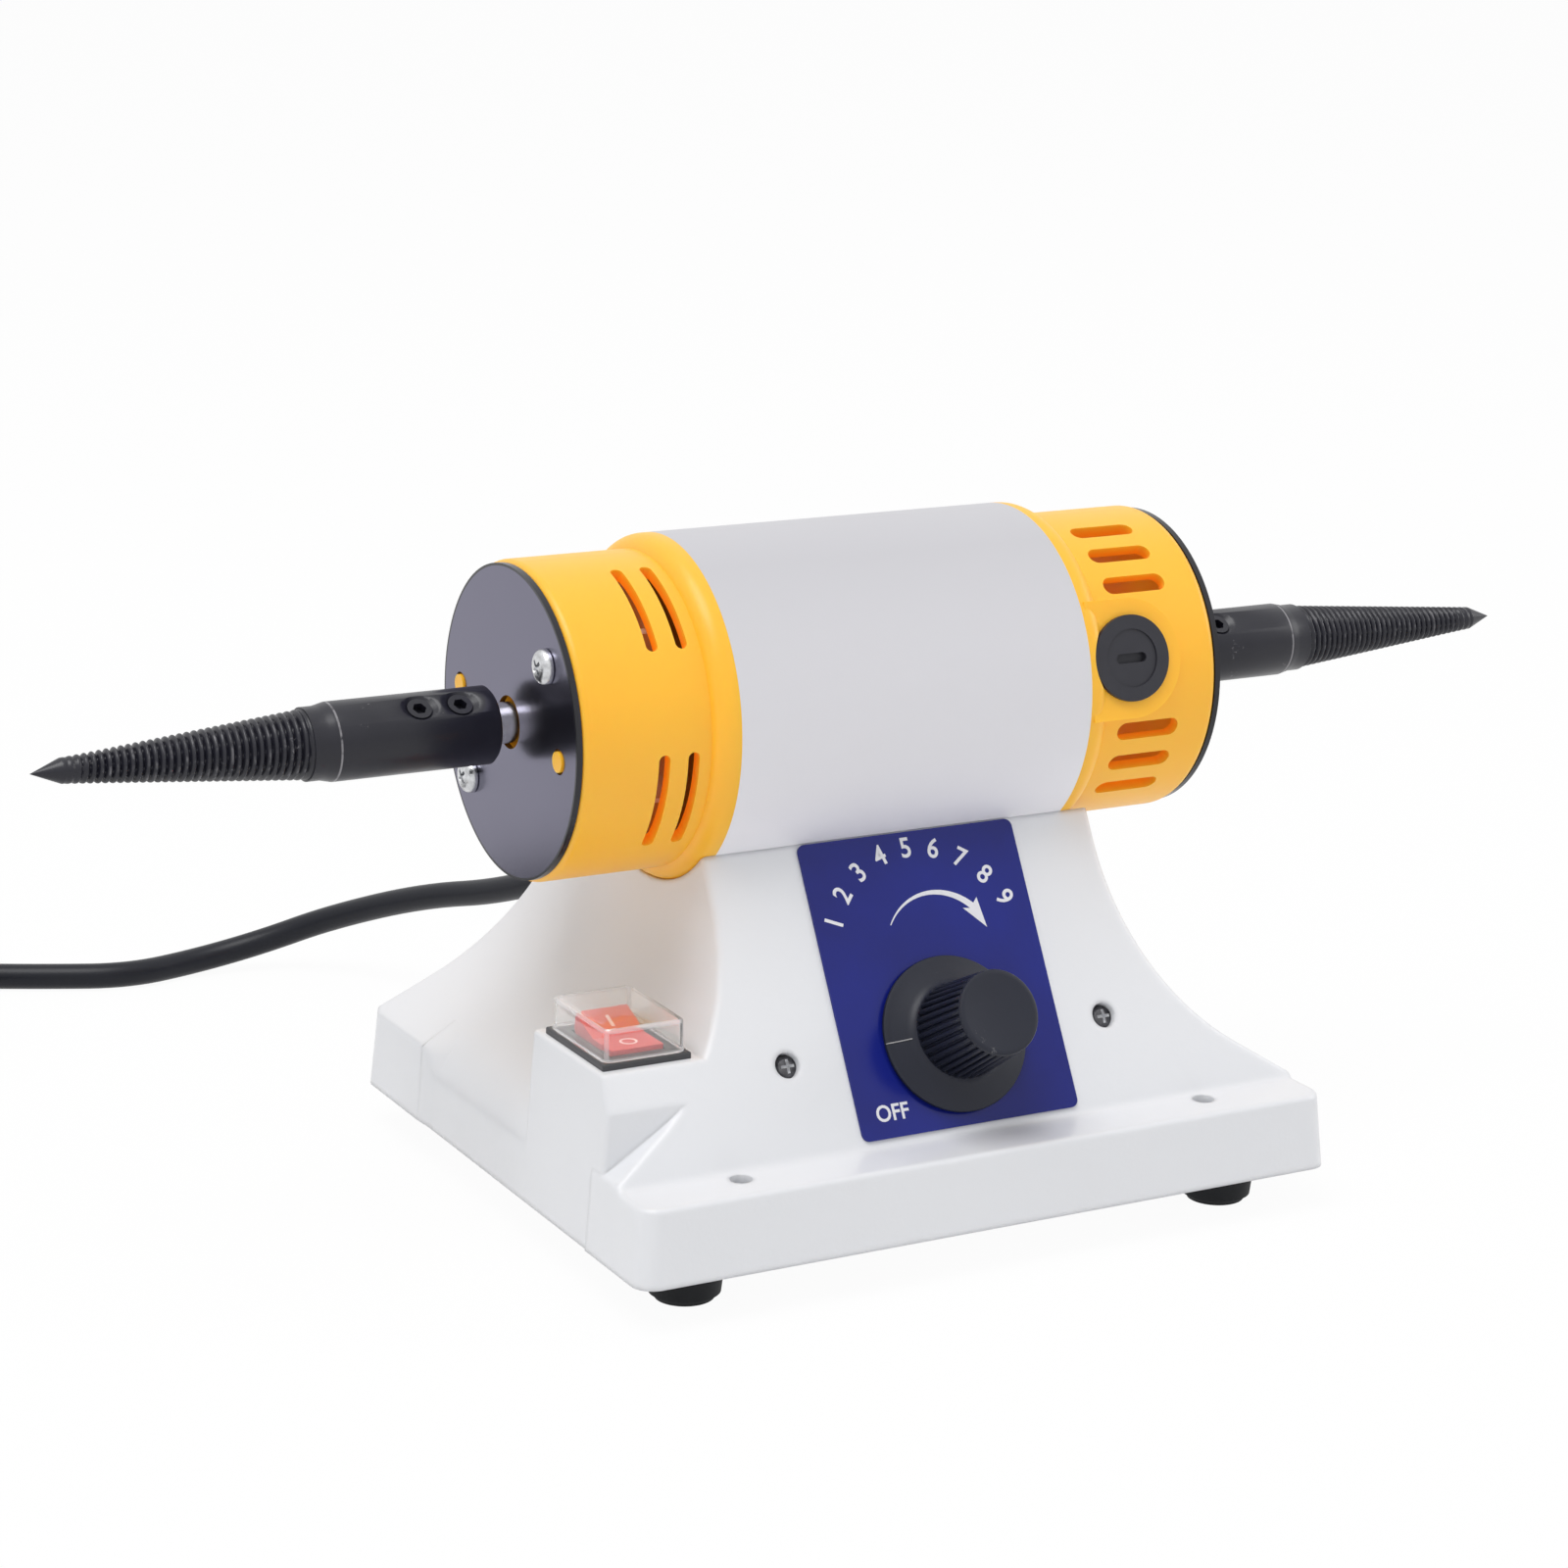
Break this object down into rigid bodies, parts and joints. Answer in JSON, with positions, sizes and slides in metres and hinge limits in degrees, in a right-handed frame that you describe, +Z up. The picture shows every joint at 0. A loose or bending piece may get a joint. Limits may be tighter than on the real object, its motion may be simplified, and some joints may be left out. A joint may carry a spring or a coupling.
{
  "type": "dental polishing lathe",
  "caption": "Bench polishing lathe: a horizontal motor with tapered threaded spindles at both ends, on a flared cast base with a speed dial, a rocker switch and a mains lead.",
  "frame": {"origin": "on the surface that the feet stand on, midway between the two spindle points and straight below the motor axis", "axes": "+X along the motor axis to the right seen from the control side, +Y to the back, +Z up"},
  "size_m": [0.4889, 0.3297, 0.1691],
  "materials": {
    "white_enamel": "semi-gloss",
    "grey_enamel": "semi-gloss",
    "amber_plastic": "glossy moulded",
    "black_enamel": "satin",
    "black_oxide": "black oxide",
    "zinc_steel": "zinc plated",
    "sheet_steel": "plain sheet",
    "ground_steel": "ground",
    "lamination_steel": "stacked sheet",
    "copper_wire": "enamelled copper",
    "commutator_copper": "turned copper",
    "brass": "drawn",
    "carbon": "carbon",
    "black_phenolic": "satin moulded",
    "blue_panel": "satin print",
    "knob_black": "satin moulded",
    "switch_black": "satin moulded",
    "rocker_red": "glossy moulded",
    "clear_cover": "clear soft plastic",
    "feet_rubber": "matt",
    "cord_black": "satin",
    "plug_black": "moulded",
    "fan_nylon": "moulded",
    "board_green": "lacquered board",
    "board_parts": "moulded",
    "spacer_nylon": "moulded"
  },
  "bodies": {
    "lathe_base": {"base_housing": "white_enamel", "bottom_plate": "sheet_steel", "foot_front_left": "feet_rubber", "foot_front_right": "feet_rubber", "foot_back_left": "feet_rubber", "foot_back_right": "feet_rubber", "foot_screws": "zinc_steel", "motor_sleeve": "grey_enamel", "fan_end_cap": "amber_plastic", "brush_end_cap": "amber_plastic", "left_cover_disc": "black_enamel", "right_cover_disc": "black_enamel", "left_disc_screws": "zinc_steel", "right_disc_screws": "zinc_steel", "stator_core": "lamination_steel", "field_coils": "copper_wire", "left_bearing_outer": "ground_steel", "right_bearing_outer": "ground_steel", "brush_holder_front": "black_phenolic", "brush_holder_back": "black_phenolic", "brush_cap_front": "black_phenolic", "brush_cap_back": "black_phenolic", "carbon_brush_front": "carbon", "carbon_brush_back": "carbon", "brush_spring_front": "ground_steel", "brush_spring_back": "ground_steel", "saddle_bolts": "zinc_steel", "front_screws": "zinc_steel", "board_spacers": "spacer_nylon", "board_bracket": "sheet_steel", "control_board": "board_green", "board_components": "board_parts", "control_panel": "blue_panel", "speed_control": "zinc_steel", "speed_control_nut": "zinc_steel", "switch_body": "switch_black", "switch_cover": "clear_cover", "strain_relief": "cord_black", "power_cord": "cord_black", "cord_coil": "cord_black", "cord_tail": "cord_black", "plug": "plug_black", "plug_pins": "brass"},
    "rotor": {"motor_shaft": "ground_steel", "armature_core": "lamination_steel", "armature_windings": "copper_wire", "commutator": "commutator_copper", "cooling_fan": "fan_nylon", "left_bearing_inner": "ground_steel", "right_bearing_inner": "ground_steel", "left_spindle": "black_oxide", "right_spindle": "black_oxide", "left_grub_screws": "black_oxide", "right_grub_screws": "black_oxide"},
    "knob": {"speed_knob": "knob_black", "speed_control_shaft": "ground_steel"},
    "rocker": {"switch_rocker": "rocker_red"}
  },
  "joints": [
    {"name": "rotor_spin", "type": "hinge", "parent": "lathe_base", "child": "rotor", "pos_m": [0, 0, 0.1266], "axis": [1, 0, 0], "continuous": true},
    {"name": "knob_turn", "type": "hinge", "parent": "lathe_base", "child": "knob", "pos_m": [0.0048, -0.05527, 0.05106], "axis": [0, 0.8701, -0.4929], "range_deg": [-38, 262]},
    {"name": "rocker_tilt", "type": "hinge", "parent": "lathe_base", "child": "rocker", "pos_m": [-0.0757, -0.0353, 0.0536], "axis": [-1, 0, 0], "range_deg": [0, 20]}
  ]
}
